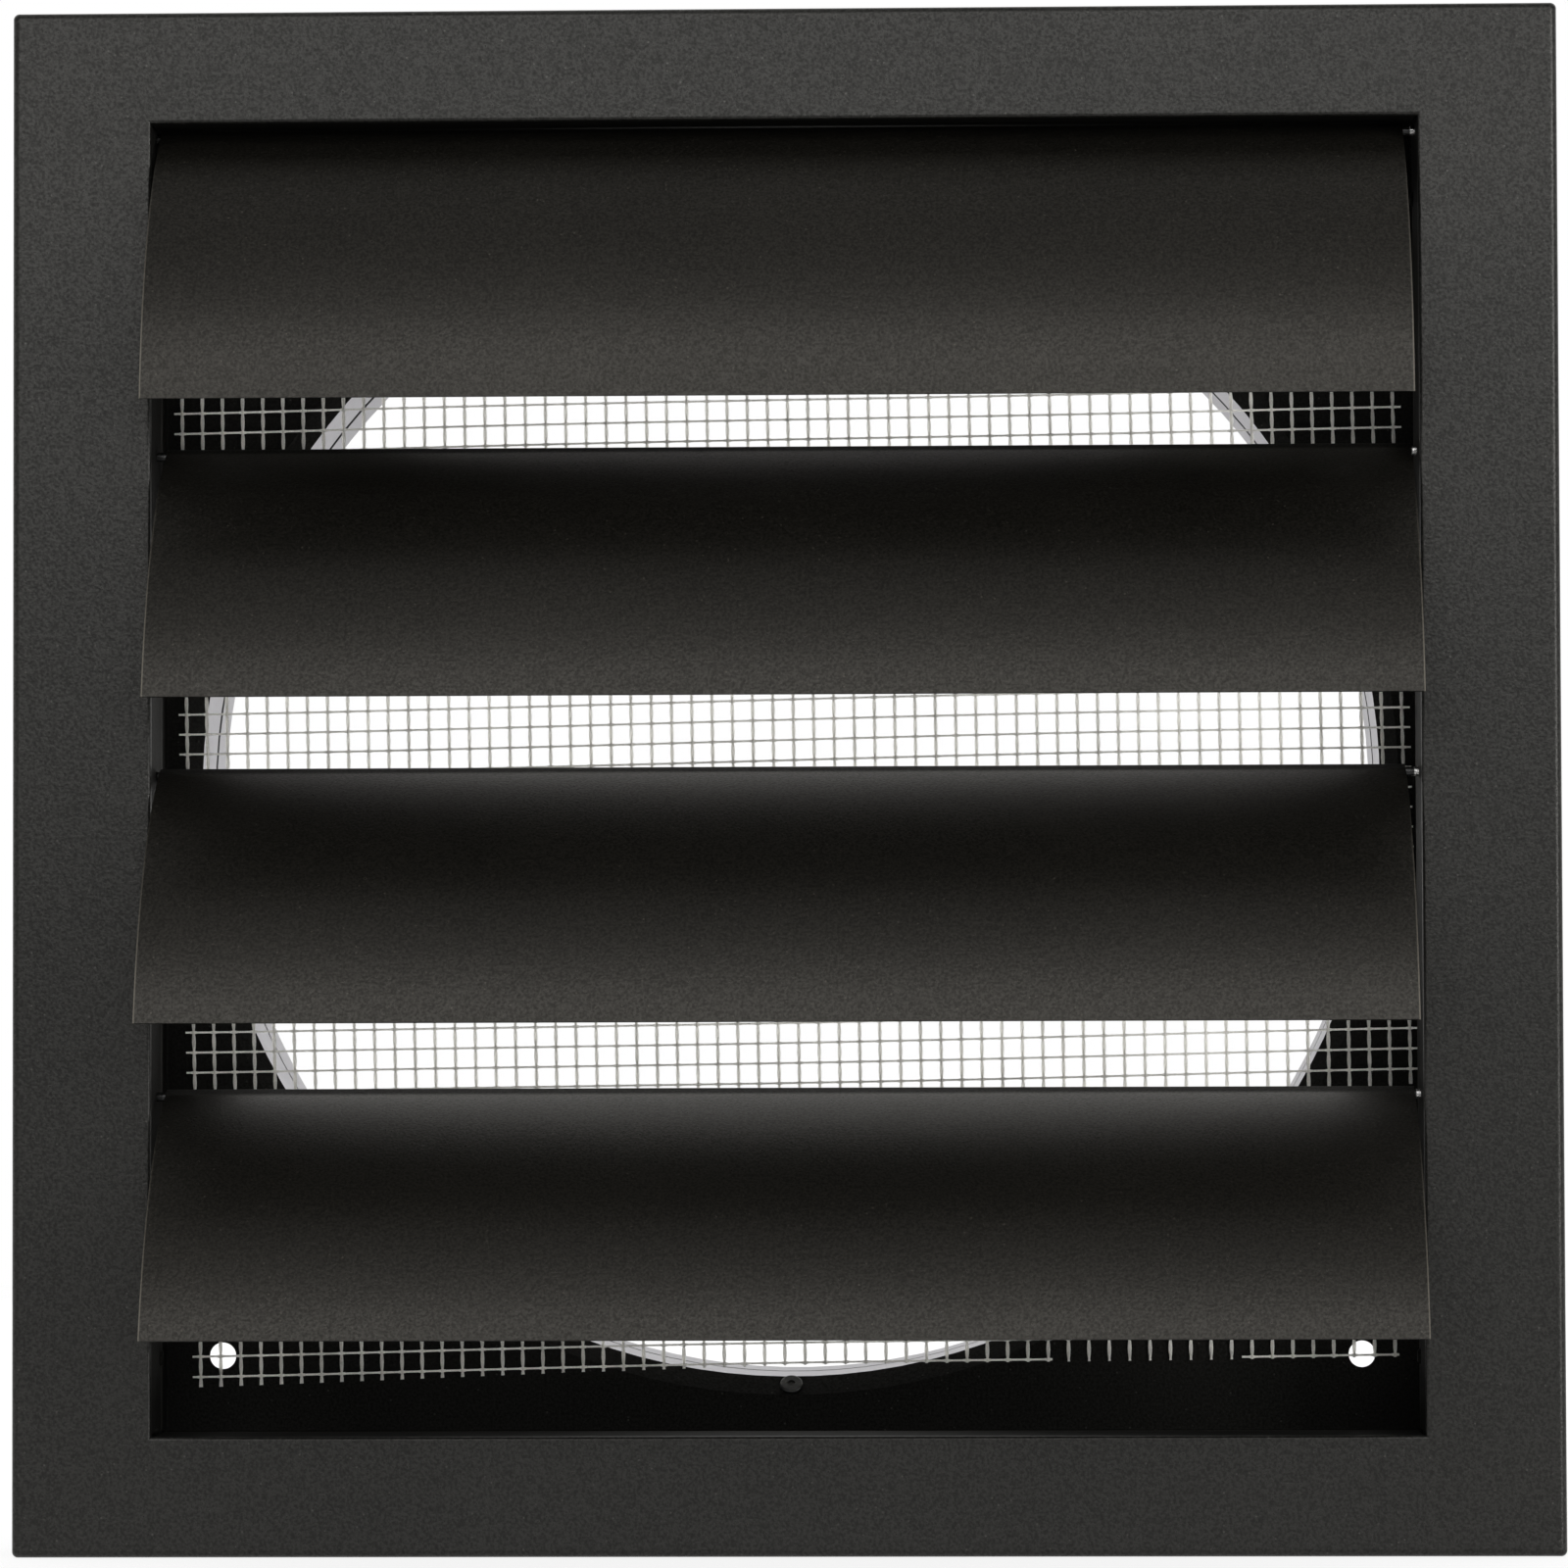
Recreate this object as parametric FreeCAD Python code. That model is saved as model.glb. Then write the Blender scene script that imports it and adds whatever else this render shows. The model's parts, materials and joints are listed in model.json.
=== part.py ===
"""Louvred vent cover for a 254 mm (10 in) dryer duct, with four gravity flaps.

Axes: +X right, +Y into the wall, +Z up. The wall plane is y = 0 and the duct axis is x = z = 0,
so the folded casing stands in front of the wall (y < 0) and the spigot reaches into it (y > 0).
The flaps are modelled hanging part open, each at its own angle. All lengths are millimetres.
"""
import FreeCAD, Part
import math
import os

# Throat: the round way through, with a 45 degree cone round it. The rest follows its size
THROAT_RADIUS = 124.7
THROAT_CONE_WIDTH = 3.7

# Opening of the casing, by its margin outside the throat cone
OPENING_SIDE_MARGIN = 2.8
OPENING_TOP_MARGIN = 8.4
OPENING_BOTTOM_MARGIN = 6.8

# Casing: one folded sheet with outer returns to the wall and a short inner lip round the opening
CASING_SIDE_BORDER = 28.8
CASING_TOP_BORDER = 23.2
CASING_BOTTOM_BORDER = 24.8
CASING_DEPTH = 35.0
CASING_SHEET = 0.8
CASING_BEND_RADIUS = 1.6
CASING_CORNER_RADIUS = 1.2
LIP_DEPTH = 20.3
LIP_EDGE_RADIUS = 0.7
LIP_CORNER_RELIEF = 0.9
LIP_RELIEF_START = 3.0

# Back tray: panel against the wall, with upstands nested outside the lip
TRAY_SHEET = 0.6
TRAY_WALL_OVERLAP = 6.3
TRAY_BEND_RADIUS = 1.0

# Spigot that the duct slips over
SPIGOT_SHEET = 0.6
SPIGOT_LENGTH = 50.0
SPIGOT_STEP = 0.2
SPIGOT_FLARE_GAP = 0.05
BEAD_DISTANCE = 31.0
BEAD_WIDTH = 2.6
BEAD_HEIGHT = 0.9

# Screw holes through the panel
SCREW_SIDE_INSET = 11.2
SCREW_BOTTOM_INSET = 15.2
SCREW_HOLE_RADIUS = 2.8

# Insect screen laid over the throat and its rivets, by its gaps to the walls of the opening
SCREEN_LEFT_GAP = 3.7
SCREEN_RIGHT_GAP = 0.7
SCREEN_TOP_GAP = 12.8
SCREEN_BOTTOM_GAP = 14.2
SCREEN_REST_GAP = 0.05
SCREEN_THICKNESS = 0.5
SCREEN_WEB = 0.3
SCREEN_BAR = 3.2
SCREEN_RIDGE = 1.2
SCREEN_COLUMNS = 12
SCREEN_ROWS = 10

# Flaps and their axles
FLAP_COUNT = 4
FLAP_SHEET = 0.5
FLAP_ROW_MARGIN = 5.2
FLAP_OVERLAP = 3.3
FLAP_CURVE_RADIUS = 83.5
FLAP_END_GAP = 1.8
FLAP_CURL_ANGLE = 300.0
FLAP_ANGLES = (34.0, 41.5, 42.5, 46.0)
FLAP_SHIFTS = (-0.8, 0.5, -1.0, 0.4)
AXLE_RADIUS = 1.0
AXLE_CURL_GAP = 0.05
AXLE_HOLE_GAP = 0.06
AXLE_DEPTH = 11.0
AXLE_TOP_GAP = 0.35
AXLE_END_PLAY = 1.5
AXLE_HEAD_RADIUS = 1.8
AXLE_HEAD_LENGTH = 0.8

# Rivets: four hold the spigot, six hold the tray to the lip
SPIGOT_RIVET_COUNT = 4
SPIGOT_RIVET_RADIUS = 1.6
SPIGOT_RIVET_HEAD_RADIUS = 2.4
SPIGOT_RIVET_HEAD_HEIGHT = 0.8
CASING_RIVET_RADIUS = 1.2
CASING_RIVET_HEAD_RADIUS = 1.7
CASING_RIVET_HEAD_HEIGHT = 0.6
SIDE_RIVET_CORNER_GAP = 15.5
TOP_RIVET_CORNER_GAP = 4.0
RIVET_FIT = 0.05
RIVET_SEAT_GAP = 0.03

# Values that follow from the ones above
FACE_Y = -CASING_DEPTH
THROAT_MOUTH_RADIUS = THROAT_RADIUS + THROAT_CONE_WIDTH
OPENING_HALF = THROAT_MOUTH_RADIUS + OPENING_SIDE_MARGIN
OPENING_TOP = THROAT_MOUTH_RADIUS + OPENING_TOP_MARGIN
OPENING_BOTTOM = -THROAT_MOUTH_RADIUS - OPENING_BOTTOM_MARGIN
OPENING_WIDTH = 2 * OPENING_HALF
OPENING_HEIGHT = OPENING_TOP - OPENING_BOTTOM
CASING_HALF = OPENING_HALF + CASING_SIDE_BORDER
CASING_TOP = OPENING_TOP + CASING_TOP_BORDER
CASING_BOTTOM = OPENING_BOTTOM - CASING_BOTTOM_BORDER
FLAP_PITCH = (OPENING_HEIGHT - FLAP_ROW_MARGIN) / FLAP_COUNT
FLAP_CHORD = FLAP_PITCH + FLAP_OVERLAP
CURL_INNER_RADIUS = AXLE_RADIUS + AXLE_CURL_GAP
CURL_OUTER_RADIUS = CURL_INNER_RADIUS + FLAP_SHEET
AXLE_Y = FACE_Y + AXLE_DEPTH
AXLE_TOP_Z = OPENING_TOP - AXLE_TOP_GAP - CURL_OUTER_RADIUS
FLAP_WIDTH = OPENING_WIDTH - 2 * FLAP_END_GAP
LIP_END_Y = FACE_Y + LIP_DEPTH
TRAY_WALL_START_Y = LIP_END_Y - TRAY_WALL_OVERLAP
RIVET_Y = LIP_END_Y - TRAY_WALL_OVERLAP / 2
SPIGOT_INNER_RADIUS = THROAT_RADIUS + SPIGOT_STEP
SPIGOT_OUTER_RADIUS = SPIGOT_INNER_RADIUS + SPIGOT_SHEET
SCREW_X = OPENING_HALF - SCREW_SIDE_INSET
SCREW_Z = -OPENING_BOTTOM - SCREW_BOTTOM_INSET
SCREW_CENTRES = [(side * SCREW_X, level * SCREW_Z) for side in (-1, 1) for level in (-1, 1)]

X_AXIS = FreeCAD.Vector(1, 0, 0)
Y_AXIS = FreeCAD.Vector(0, 1, 0)
Z_AXIS = FreeCAD.Vector(0, 0, 1)
OVERRUN = 2.0
TOLERANCE = 1e-4


def block(x_range, y_range, z_range):
    """Box between the given low and high values on each axis."""
    corner = FreeCAD.Vector(x_range[0], y_range[0], z_range[0])
    return Part.makeBox(x_range[1] - x_range[0], y_range[1] - y_range[0], z_range[1] - z_range[0], corner)


def opening_block(grow, y_range):
    """Box over the casing opening, larger by grow on each side."""
    return block((-OPENING_HALF - grow, OPENING_HALF + grow), y_range,
                 (OPENING_BOTTOM - grow, OPENING_TOP + grow))


def edges_in_plane(shape, y):
    """Edges of a shape that lie whole in the plane at y."""
    return [edge for edge in shape.Edges
            if abs(edge.BoundBox.YMin - y) < TOLERANCE and abs(edge.BoundBox.YMax - y) < TOLERANCE]


def edges_along_y(shape, length):
    """Straight edges of a shape that run along Y for the given length."""
    return [edge for edge in shape.Edges
            if abs(edge.Length - length) < TOLERANCE and abs(edge.BoundBox.YLength - length) < TOLERANCE]


def closed_face(curves):
    """Planar face bounded by the curves, given in order."""
    return Part.Face(Part.Wire([curve.toShape() for curve in curves]))


def line(a, b):
    return Part.LineSegment(a, b)


def arc(a, middle, b):
    return Part.Arc(a, middle, b)


def wall_rivet_places():
    """Centre and inward direction of each rivet between the lip and the tray."""
    low = OPENING_BOTTOM + SIDE_RIVET_CORNER_GAP
    high = OPENING_TOP - SIDE_RIVET_CORNER_GAP
    top_x = OPENING_HALF - TOP_RIVET_CORNER_GAP
    places = []
    for side in (-1, 1):
        for z in (low, high):
            places.append((FreeCAD.Vector(side * OPENING_HALF, RIVET_Y, z), X_AXIS * -side))
        places.append((FreeCAD.Vector(side * top_x, RIVET_Y, OPENING_TOP), Z_AXIS * -1))
    return places


def wall_rivet_hole(place, direction):
    """Drill for one casing rivet, through the lip and the tray wall."""
    reach = CASING_SHEET + TRAY_SHEET + OVERRUN
    start = place + direction * OVERRUN
    return Part.makeCylinder(CASING_RIVET_RADIUS + RIVET_FIT, reach + OVERRUN, start, direction * -1)


def front_frame():
    """Folded casing: face, returns to the wall, and the lip round the opening."""
    half = CASING_HALF
    inner_half = half - CASING_SHEET
    outer = block((-half, half), (FACE_Y, 0), (CASING_BOTTOM, CASING_TOP))
    outer = outer.makeFillet(CASING_CORNER_RADIUS, edges_along_y(outer, CASING_DEPTH))
    outer = outer.makeFillet(CASING_BEND_RADIUS, edges_in_plane(outer, FACE_Y))
    inner = block((-inner_half, inner_half), (FACE_Y + CASING_SHEET, OVERRUN),
                  (CASING_BOTTOM + CASING_SHEET, CASING_TOP - CASING_SHEET))
    inner = inner.makeFillet(CASING_BEND_RADIUS - CASING_SHEET, edges_in_plane(inner, FACE_Y + CASING_SHEET))
    shell = outer.cut(inner)
    lip = opening_block(CASING_SHEET, (FACE_Y + CASING_SHEET / 2, LIP_END_Y))
    shell = shell.fuse(lip).cut(opening_block(0, (FACE_Y - OVERRUN, OVERRUN)))
    shell = shell.removeSplitter()
    rim_box = FreeCAD.BoundBox(-OPENING_HALF, FACE_Y, OPENING_BOTTOM, OPENING_HALF, FACE_Y, OPENING_TOP)
    rim_box.enlarge(TOLERANCE)
    rim = [edge for edge in edges_in_plane(shell, FACE_Y) if rim_box.isInside(edge.BoundBox)]
    shell = shell.makeFillet(LIP_EDGE_RADIUS, rim)
    cuts = []
    for side in (-1, 1):
        for z in (OPENING_BOTTOM - CASING_SHEET / 2, OPENING_TOP + CASING_SHEET / 2):
            x = side * (OPENING_HALF + CASING_SHEET / 2)
            cuts.append(block((x - LIP_CORNER_RELIEF, x + LIP_CORNER_RELIEF),
                              (FACE_Y + LIP_RELIEF_START, LIP_END_Y + OVERRUN),
                              (z - LIP_CORNER_RELIEF, z + LIP_CORNER_RELIEF)))
    hole_radius = AXLE_RADIUS + AXLE_HOLE_GAP
    for index in range(FLAP_COUNT):
        start = FreeCAD.Vector(-OPENING_HALF - CASING_SHEET - OVERRUN, AXLE_Y, axle_z(index))
        cuts.append(Part.makeCylinder(hole_radius, OPENING_WIDTH + 2 * CASING_SHEET + 2 * OVERRUN, start, X_AXIS))
    cuts += [wall_rivet_hole(place, direction) for place, direction in wall_rivet_places()]
    return shell.cut(cuts)


def cone_offset():
    """Shift along the radius that sets a 45 degree cone one tray sheet behind another."""
    return TRAY_SHEET * math.sqrt(2)


def back_tray():
    """Panel against the wall with four upstands and a coned throat."""
    grow_out = CASING_SHEET + TRAY_SHEET
    outer = opening_block(grow_out, (TRAY_WALL_START_Y, 0))
    outer = outer.makeFillet(TRAY_BEND_RADIUS, edges_in_plane(outer, 0))
    inner = opening_block(CASING_SHEET, (TRAY_WALL_START_Y - OVERRUN, -TRAY_SHEET))
    inner = inner.makeFillet(TRAY_BEND_RADIUS - TRAY_SHEET, edges_in_plane(inner, -TRAY_SHEET))
    tray = outer.cut(inner)
    mouth = THROAT_MOUTH_RADIUS
    tray = tray.cut(Part.makeCylinder(mouth, TRAY_SHEET + 2 * OVERRUN,
                                      FreeCAD.Vector(0, -TRAY_SHEET - OVERRUN, 0), Y_AXIS))
    cone_end_y = -TRAY_SHEET + THROAT_CONE_WIDTH
    offset = cone_offset()
    profile = [FreeCAD.Vector(mouth, -TRAY_SHEET, 0),
               FreeCAD.Vector(THROAT_RADIUS, cone_end_y, 0),
               FreeCAD.Vector(THROAT_RADIUS + TRAY_SHEET / math.sqrt(2), cone_end_y + TRAY_SHEET / math.sqrt(2), 0),
               FreeCAD.Vector(mouth + offset - TRAY_SHEET, 0, 0),
               FreeCAD.Vector(mouth + OVERRUN, 0, 0),
               FreeCAD.Vector(mouth + OVERRUN, -TRAY_SHEET, 0)]
    cone = Part.Face(Part.makePolygon(profile + profile[:1])).revolve(FreeCAD.Vector(), Y_AXIS, 360)
    tray = tray.fuse(cone).removeSplitter()
    cuts = []
    for side in (-1, 1):
        for z in (OPENING_BOTTOM - grow_out + TRAY_SHEET / 2, OPENING_TOP + grow_out - TRAY_SHEET / 2):
            x = side * (OPENING_HALF + grow_out - TRAY_SHEET / 2)
            cuts.append(block((x - LIP_CORNER_RELIEF, x + LIP_CORNER_RELIEF),
                              (TRAY_WALL_START_Y - OVERRUN, -LIP_RELIEF_START),
                              (z - LIP_CORNER_RELIEF, z + LIP_CORNER_RELIEF)))
    for x, z in SCREW_CENTRES:
        start = FreeCAD.Vector(x, -TRAY_SHEET - OVERRUN, z)
        cuts.append(Part.makeCylinder(SCREW_HOLE_RADIUS, TRAY_SHEET + 2 * OVERRUN, start, Y_AXIS))
    cuts += [wall_rivet_hole(place, direction) for place, direction in wall_rivet_places()]
    cuts += [spigot_rivet_hole(index) for index in range(SPIGOT_RIVET_COUNT)]
    return tray.cut(cuts)


def spigot_flare_start():
    """Radius and depth where the spigot's wall turns into its flare, on the inner face."""
    behind_cone = cone_offset() + SPIGOT_FLARE_GAP * math.sqrt(2)
    radius = SPIGOT_INNER_RADIUS
    y = -TRAY_SHEET + (THROAT_MOUTH_RADIUS - radius) + behind_cone
    return radius, y


def duct_collar():
    """Rolled spigot with a 45 degree flare behind the throat cone and a stop bead."""
    radius, turn_y = spigot_flare_start()
    outer = SPIGOT_OUTER_RADIUS
    flare_y = SPIGOT_FLARE_GAP
    flare = turn_y - flare_y
    outer_turn_y = turn_y + SPIGOT_SHEET * math.tan(math.radians(22.5))
    lip = SPIGOT_SHEET * math.sqrt(2)
    end_y = SPIGOT_LENGTH
    bead_low = BEAD_DISTANCE - BEAD_WIDTH / 2
    bead_high = BEAD_DISTANCE + BEAD_WIDTH / 2
    edge = SPIGOT_SHEET / 2

    def at(r, y):
        return FreeCAD.Vector(r, y, 0)

    curves = [line(at(radius + flare, flare_y), at(radius, turn_y)),
              line(at(radius, turn_y), at(radius, bead_low)),
              arc(at(radius, bead_low), at(radius + BEAD_HEIGHT, BEAD_DISTANCE), at(radius, bead_high)),
              line(at(radius, bead_high), at(radius, end_y)),
              line(at(radius, end_y), at(outer, end_y)),
              line(at(outer, end_y), at(outer, bead_high + edge)),
              arc(at(outer, bead_high + edge), at(outer + BEAD_HEIGHT, BEAD_DISTANCE), at(outer, bead_low - edge)),
              line(at(outer, bead_low - edge), at(outer, outer_turn_y)),
              line(at(outer, outer_turn_y), at(radius + flare + lip, flare_y)),
              line(at(radius + flare + lip, flare_y), at(radius + flare, flare_y))]
    collar = closed_face(curves).revolve(FreeCAD.Vector(), Y_AXIS, 360)
    return collar.cut([spigot_rivet_hole(index) for index in range(SPIGOT_RIVET_COUNT)])


def spigot_rivet_place(index):
    """Centre on the throat cone's front face, and the direction of the head, for one rivet."""
    turn = math.radians(-90 + 360 * index / SPIGOT_RIVET_COUNT)
    radial = FreeCAD.Vector(math.cos(turn), 0, math.sin(turn))
    middle = THROAT_CONE_WIDTH / 2
    centre = radial * (THROAT_RADIUS + middle) + Y_AXIS * (-TRAY_SHEET + middle)
    direction = radial * -1 - Y_AXIS
    direction.normalize()
    return centre, direction


def spigot_rivet_hole(index):
    """Drill for one spigot rivet, through the cone and the flare."""
    centre, direction = spigot_rivet_place(index)
    return Part.makeCylinder(SPIGOT_RIVET_RADIUS + RIVET_FIT, 2 * OVERRUN,
                             centre + direction * OVERRUN, direction * -1)


def spigot_rivet(index):
    """Blind rivet: dished head in front, shank, and the swelled tail behind the flare."""
    centre, direction = spigot_rivet_place(index)
    grip = TRAY_SHEET + SPIGOT_FLARE_GAP + SPIGOT_SHEET
    seat = centre + direction * RIVET_SEAT_GAP
    head = Part.makeCylinder(SPIGOT_RIVET_HEAD_RADIUS, SPIGOT_RIVET_HEAD_HEIGHT, seat, direction)
    rim = [edge for edge in head.Edges
           if (edge.CenterOfMass - seat).dot(direction) > SPIGOT_RIVET_HEAD_HEIGHT * 3 / 4]
    head = head.makeFillet(SPIGOT_RIVET_HEAD_HEIGHT / 2, rim)
    bore = SPIGOT_RIVET_RADIUS / 2
    dish = Part.makeCylinder(bore, SPIGOT_RIVET_HEAD_HEIGHT, seat + direction * (SPIGOT_RIVET_HEAD_HEIGHT / 2),
                             direction)
    shank = Part.makeCylinder(SPIGOT_RIVET_RADIUS, grip + RIVET_SEAT_GAP, seat, direction * -1)
    tail = Part.makeCone(SPIGOT_RIVET_HEAD_RADIUS, SPIGOT_RIVET_RADIUS, SPIGOT_RIVET_RADIUS,
                         centre - direction * grip, direction * -1)
    return head.cut(dish).fuse([shank, tail]).removeSplitter()


def casing_rivet(place, direction):
    """Solid rivet with a flat head in the opening and a set head outside the tray wall."""
    grip = CASING_SHEET + TRAY_SHEET
    head = Part.makeCone(CASING_RIVET_HEAD_RADIUS, CASING_RIVET_RADIUS, CASING_RIVET_HEAD_HEIGHT, place, direction)
    shank = Part.makeCylinder(CASING_RIVET_RADIUS, grip, place, direction * -1)
    tail = Part.makeCylinder(CASING_RIVET_HEAD_RADIUS, CASING_RIVET_HEAD_HEIGHT, place - direction * grip,
                             direction * -1)
    return head.fuse([shank, tail]).removeSplitter()


def insect_screen():
    """Woven screen as one wall: open gaps between bars, each bar with a raised ridge."""
    low_x, high_x = -OPENING_HALF + SCREEN_LEFT_GAP, OPENING_HALF - SCREEN_RIGHT_GAP
    low_z, high_z = OPENING_BOTTOM + SCREEN_BOTTOM_GAP, OPENING_TOP - SCREEN_TOP_GAP
    back_y = spigot_rivet(0).optimalBoundingBox(False).YMin - SCREEN_REST_GAP
    pitch_x = (high_x - low_x - SCREEN_BAR) / SCREEN_COLUMNS
    pitch_z = (high_z - low_z - SCREEN_BAR) / SCREEN_ROWS
    bars = []
    for column in range(SCREEN_COLUMNS + 1):
        x = low_x + SCREEN_BAR / 2 + column * pitch_x
        bars.append(block((x - SCREEN_BAR / 2, x + SCREEN_BAR / 2), (back_y - SCREEN_WEB, back_y), (low_z, high_z)))
        bars.append(block((x - SCREEN_RIDGE / 2, x + SCREEN_RIDGE / 2), (back_y - SCREEN_THICKNESS, back_y),
                          (low_z, high_z)))
    for row in range(SCREEN_ROWS + 1):
        z = low_z + SCREEN_BAR / 2 + row * pitch_z
        bars.append(block((low_x, high_x), (back_y - SCREEN_WEB, back_y), (z - SCREEN_BAR / 2, z + SCREEN_BAR / 2)))
        bars.append(block((low_x, high_x), (back_y - SCREEN_THICKNESS, back_y),
                          (z - SCREEN_RIDGE / 2, z + SCREEN_RIDGE / 2)))
    return bars[0].fuse(bars[1:]).removeSplitter()


def axle_z(index):
    """Height of one axle, counted from the top."""
    return AXLE_TOP_Z - index * FLAP_PITCH


def flap_profile():
    """Section of a flap hanging straight down: curled eye at the axle, then one arc.

    It is drawn with the chord along -Z and the hollow side towards +Y. The arc's centre is
    where its outer face is tangent to the curl and its lower edge ends one chord from the axle.
    """
    outer = FLAP_CURVE_RADIUS + FLAP_SHEET / 2
    inner = outer - FLAP_SHEET
    reach = outer - CURL_OUTER_RADIUS
    drop = (FLAP_CHORD ** 2 - FLAP_CURVE_RADIUS ** 2 + reach ** 2) / (2 * FLAP_CHORD)
    back = math.sqrt(reach ** 2 - drop ** 2)
    start = math.atan2(drop, -back)
    end = math.atan2(drop - FLAP_CHORD, -back)
    if end < 0:
        end += 2 * math.pi

    def on_arc(radius, angle):
        return FreeCAD.Vector(0, back + radius * math.cos(angle), -drop + radius * math.sin(angle))

    def on_curl(radius, turn):
        angle = start - math.radians(turn)
        return FreeCAD.Vector(0, radius * math.cos(angle), radius * math.sin(angle))

    middle = (start + end) / 2
    wrap = FLAP_CURL_ANGLE
    curves = [arc(on_arc(outer, end), on_arc(outer, middle), on_curl(CURL_OUTER_RADIUS, 0)),
              arc(on_curl(CURL_OUTER_RADIUS, 0), on_curl(CURL_OUTER_RADIUS, wrap / 2),
                  on_curl(CURL_OUTER_RADIUS, wrap)),
              line(on_curl(CURL_OUTER_RADIUS, wrap), on_curl(CURL_INNER_RADIUS, wrap)),
              arc(on_curl(CURL_INNER_RADIUS, wrap), on_curl(CURL_INNER_RADIUS, wrap / 2),
                  on_curl(CURL_INNER_RADIUS, 0)),
              arc(on_curl(CURL_INNER_RADIUS, 0), on_arc(inner, middle), on_arc(inner, end)),
              line(on_arc(inner, end), on_arc(outer, end))]
    return closed_face(curves)


def flap(index):
    """One curved flap, swung open to its angle about its axle."""
    solid = flap_profile().extrude(X_AXIS * FLAP_WIDTH)
    solid.rotate(FreeCAD.Vector(), X_AXIS, -FLAP_ANGLES[index])
    solid.translate(FreeCAD.Vector(FLAP_SHIFTS[index] - FLAP_WIDTH / 2, AXLE_Y, axle_z(index)))
    return solid


def flap_axle(index):
    """Straight wire through the curl and both lip walls, with a head upset on each end."""
    half = OPENING_HALF + CASING_SHEET + AXLE_END_PLAY
    centre = FreeCAD.Vector(FLAP_SHIFTS[index], AXLE_Y, axle_z(index))
    wire = Part.makeCylinder(AXLE_RADIUS, 2 * half, centre - X_AXIS * half, X_AXIS)
    heads = [Part.makeCylinder(AXLE_HEAD_RADIUS, AXLE_HEAD_LENGTH, centre + X_AXIS * (side * half), X_AXIS * side)
             for side in (-1, 1)]
    return wire.fuse(heads).removeSplitter()


def build():
    """Every sub-part by node name."""
    parts = {"front_frame": front_frame(), "back_tray": back_tray(), "duct_collar": duct_collar(),
             "insect_screen": insect_screen()}
    for index in range(FLAP_COUNT):
        parts["flap_%d" % (index + 1)] = flap(index)
        parts["flap_axle_%d" % (index + 1)] = flap_axle(index)
    for index in range(SPIGOT_RIVET_COUNT):
        parts["collar_rivet_%d" % (index + 1)] = spigot_rivet(index)
    for number, (place, direction) in enumerate(wall_rivet_places(), 1):
        parts["casing_rivet_%d" % number] = casing_rivet(place, direction)
    return parts


def main():
    os.makedirs("parts", exist_ok=True)
    for name, shape in build().items():
        solid = shape.Solids[0] if len(shape.Solids) == 1 else shape
        print("%-16s solids %d valid %s volume %.1f faces %d" % (
            name, len(shape.Solids), shape.isValid(), shape.Volume, len(shape.Faces)))
        solid.exportStep(os.path.join("parts", name + ".step"))


main()
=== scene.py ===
"""Finish, woven screen and studio for the louvred vent cover.

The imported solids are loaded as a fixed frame. Each operator below finishes one group of pieces or
adds a modelled one, and the last sets up the studio. All lengths are metres in the part's own
frame: +X right, +Y into the wall, +Z up, with the wall plane at y = 0.
"""

import json
import math

import bpy
from bpy.props import FloatProperty, FloatVectorProperty, PointerProperty
from bpy.types import Operator, Panel, PropertyGroup
from mathutils import Matrix, Vector

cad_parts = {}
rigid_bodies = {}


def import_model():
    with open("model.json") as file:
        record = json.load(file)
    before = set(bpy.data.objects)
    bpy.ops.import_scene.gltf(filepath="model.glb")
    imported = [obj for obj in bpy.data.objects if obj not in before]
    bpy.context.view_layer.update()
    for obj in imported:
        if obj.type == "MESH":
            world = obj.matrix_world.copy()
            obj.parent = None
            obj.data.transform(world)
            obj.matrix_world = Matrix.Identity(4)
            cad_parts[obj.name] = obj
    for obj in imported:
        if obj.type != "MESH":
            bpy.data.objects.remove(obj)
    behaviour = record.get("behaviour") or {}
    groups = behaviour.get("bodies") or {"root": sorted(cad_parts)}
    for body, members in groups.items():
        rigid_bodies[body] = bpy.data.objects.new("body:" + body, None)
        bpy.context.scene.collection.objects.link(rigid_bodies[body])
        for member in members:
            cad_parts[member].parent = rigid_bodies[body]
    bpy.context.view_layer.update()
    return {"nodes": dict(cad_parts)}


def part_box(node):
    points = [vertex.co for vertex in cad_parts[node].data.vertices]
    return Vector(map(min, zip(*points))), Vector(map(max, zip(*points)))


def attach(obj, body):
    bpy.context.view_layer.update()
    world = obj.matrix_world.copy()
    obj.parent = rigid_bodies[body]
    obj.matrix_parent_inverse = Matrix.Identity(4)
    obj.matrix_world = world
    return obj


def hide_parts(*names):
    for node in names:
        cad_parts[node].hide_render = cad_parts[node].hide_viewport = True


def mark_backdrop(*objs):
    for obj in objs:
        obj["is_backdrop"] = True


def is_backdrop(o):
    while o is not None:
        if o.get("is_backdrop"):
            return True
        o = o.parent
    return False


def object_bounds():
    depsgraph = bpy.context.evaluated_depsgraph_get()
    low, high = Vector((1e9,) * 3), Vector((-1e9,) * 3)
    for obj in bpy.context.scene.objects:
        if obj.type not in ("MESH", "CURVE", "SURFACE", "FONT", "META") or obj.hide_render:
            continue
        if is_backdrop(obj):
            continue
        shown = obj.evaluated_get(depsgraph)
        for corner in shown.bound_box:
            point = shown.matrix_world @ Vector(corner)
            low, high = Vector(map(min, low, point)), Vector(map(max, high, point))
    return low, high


bl_info = {
    "name": "Vent Cover Finish",
    "version": (1, 0, 0),
    "blender": (4, 5, 0),
    "location": "View3D > Sidebar > Vent Cover",
    "description": "Powder coat, zinc, woven screen and studio for a louvred vent cover",
    "category": "Object",
}

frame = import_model()
MM = 0.001
BLACK = (0.0, 0.0, 0.0)
WHITE = (1.0, 1.0, 1.0)

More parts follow.
